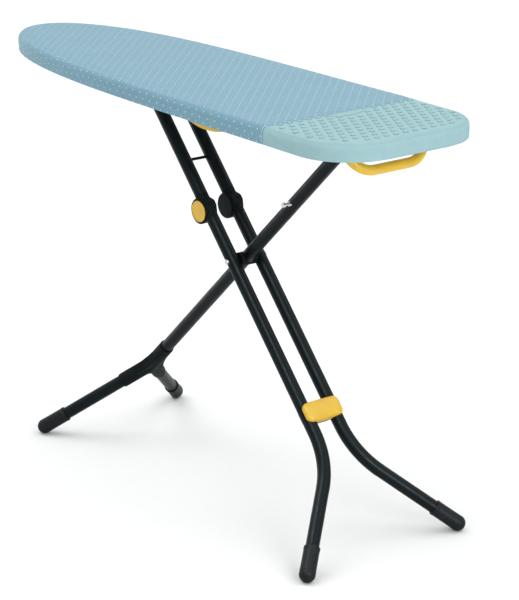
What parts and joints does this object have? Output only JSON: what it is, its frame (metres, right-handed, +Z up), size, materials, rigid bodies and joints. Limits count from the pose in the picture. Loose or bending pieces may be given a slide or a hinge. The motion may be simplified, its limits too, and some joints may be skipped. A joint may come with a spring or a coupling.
{
  "type": "ironing board",
  "caption": "Free-standing ironing board with a padded cover, a heat-resistant iron rest, crossed folding tube legs, a carry handle and a height lever.",
  "frame": {"origin": "on the floor under the middle of the board", "axes": "+X along the board to its square heel, -X to the rounded nose, +Y across, +Z up from the floor to the ironing surface"},
  "size_m": [1.3, 0.424, 0.87],
  "materials": {
    "cover_fabric": "fine woven cotton with small white dots",
    "iron_rest": "matt heat-resistant coating with raised marks",
    "felt_pad": "pressed felt",
    "frame_steel": "satin grey powder coat",
    "zinc_steel": "zinc-plated",
    "chrome": "bright",
    "yellow_plastic": "soft satin moulding",
    "black_paint": "satin powder coat",
    "black_plastic": "fine textured moulding",
    "foot_rubber": "matt",
    "shoe_nylon": "natural nylon"
  },
  "bodies": {
    "board": {"top_cover": "cover_fabric", "iron_rest_cover": "iron_rest", "pad": "felt_pad", "mesh_top": "frame_steel", "rim_frame": "frame_steel", "cross_ribs": "frame_steel", "guide_rail_left": "frame_steel", "guide_rail_right": "frame_steel", "pivot_bracket": "frame_steel", "bracket_bolts": "zinc_steel", "front_axle": "zinc_steel", "front_axle_nut": "zinc_steel", "carry_handle": "yellow_plastic", "handle_screws": "zinc_steel", "lever_bearings": "black_plastic"},
    "lever": {"height_lever": "yellow_plastic", "lock_rod": "zinc_steel", "lock_plate": "frame_steel", "lever_spring": "zinc_steel"},
    "front_leg": {"front_tube": "black_paint", "front_pivot_sleeve": "black_paint", "leg_fork": "black_plastic", "branch_tube_left": "black_paint", "branch_tube_right": "black_paint", "front_foot_left": "foot_rubber", "front_foot_right": "foot_rubber", "crossing_hub": "black_plastic", "catch_stud": "chrome"},
    "rear_leg": {"upper_tube_left": "black_paint", "upper_tube_right": "black_paint", "lower_tube_left": "black_paint", "lower_tube_right": "black_paint", "tube_plugs": "black_plastic", "knuckle_upper_left": "black_plastic", "knuckle_upper_right": "black_plastic", "knuckle_lower_left": "black_plastic", "knuckle_lower_right": "black_plastic", "knuckle_pin_left": "zinc_steel", "knuckle_pin_right": "zinc_steel", "lock_spring_left": "zinc_steel", "lock_spring_right": "zinc_steel", "spreader_rod": "black_paint", "clip_front": "yellow_plastic", "clip_back": "black_plastic", "clip_screws": "zinc_steel", "rear_foot_left": "foot_rubber", "rear_foot_right": "foot_rubber", "cross_axle": "chrome", "cross_axle_ring": "chrome", "top_axle": "zinc_steel", "axle_washers": "zinc_steel"},
    "sliders": {"shoe_left": "shoe_nylon", "shoe_right": "shoe_nylon"},
    "button_left": {"button_left": "yellow_plastic", "lock_gear_left": "zinc_steel"},
    "button_right": {"button_right": "yellow_plastic", "lock_gear_right": "zinc_steel"}
  },
  "joints": [
    {"name": "leg_fold", "type": "hinge", "parent": "board", "child": "front_leg", "pos_m": [0.4635, 0, 0.828], "axis": [0, 1, 0], "range_deg": [0, 40.6]},
    {"name": "leg_crossing", "type": "hinge", "parent": "front_leg", "child": "rear_leg", "pos_m": [0.1263, 0, 0.50464], "axis": [0, 1, 0], "range_deg": [-86, 0]},
    {"name": "shoe_tilt", "type": "hinge", "parent": "rear_leg", "child": "sliders", "pos_m": [-0.17, 0, 0.828], "axis": [0, 1, 0], "range_deg": [0, 45]},
    {"name": "height_lever_pull", "type": "hinge", "parent": "board", "child": "lever", "pos_m": [0, -0.1, 0.844], "axis": [-1, 0, 0], "range_deg": [0, 12], "stiffness_Nm_per_rad": 0.6, "springref_deg": -20.05, "deforming": ["lever_spring"]},
    {"name": "left_button_press", "type": "slide", "parent": "rear_leg", "child": "button_left", "axis": [0, 1, 0], "range_m": [0, 0.003], "stiffness_N_per_m": 900, "springref_m": -0.002, "deforming": ["lock_spring_left"]},
    {"name": "right_button_press", "type": "slide", "parent": "rear_leg", "child": "button_right", "axis": [0, -1, 0], "range_m": [0, 0.003], "stiffness_N_per_m": 900, "springref_m": -0.002, "deforming": ["lock_spring_right"]}
  ],
  "couplings": [
    {"joint": "leg_crossing", "follows": "leg_fold", "ratio": -2.09},
    {"joint": "shoe_tilt", "follows": "leg_fold", "ratio": 1.09}
  ]
}
